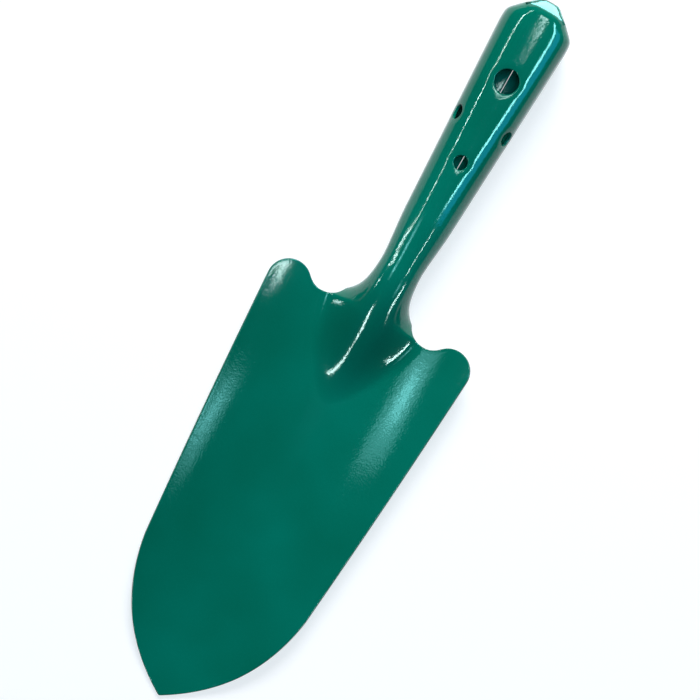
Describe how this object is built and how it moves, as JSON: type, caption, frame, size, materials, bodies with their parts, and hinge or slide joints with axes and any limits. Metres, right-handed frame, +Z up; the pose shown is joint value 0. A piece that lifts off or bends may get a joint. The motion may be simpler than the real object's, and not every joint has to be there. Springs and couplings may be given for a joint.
{
  "type": "hand trowel",
  "caption": "Pressed sheet-steel hand trowel with a dished blade, crowned neck and rolled tapered tube handle, enamelled green; digs and lifts soil.",
  "frame": {"origin": "on the floor under the middle of the trowel's length, width and height box, as it lies on its back", "axes": "+Z up out of the hollow of the blade, +Y from the tip towards the handle end, +X to the right seen from above with the handle pointing away"},
  "size_m": [0.0832, 0.29, 0.0274],
  "materials": {
    "green_enamel": "glossy stoved enamel over pressed steel"
  },
  "bodies": {
    "root": {"blade": "green_enamel", "neck": "green_enamel", "handle_tube": "green_enamel", "end_tab_front": "green_enamel", "end_tab_left": "green_enamel", "end_tab_right": "green_enamel", "end_tab_back_left": "green_enamel", "end_tab_back_right": "green_enamel"}
  },
  "joints": []
}
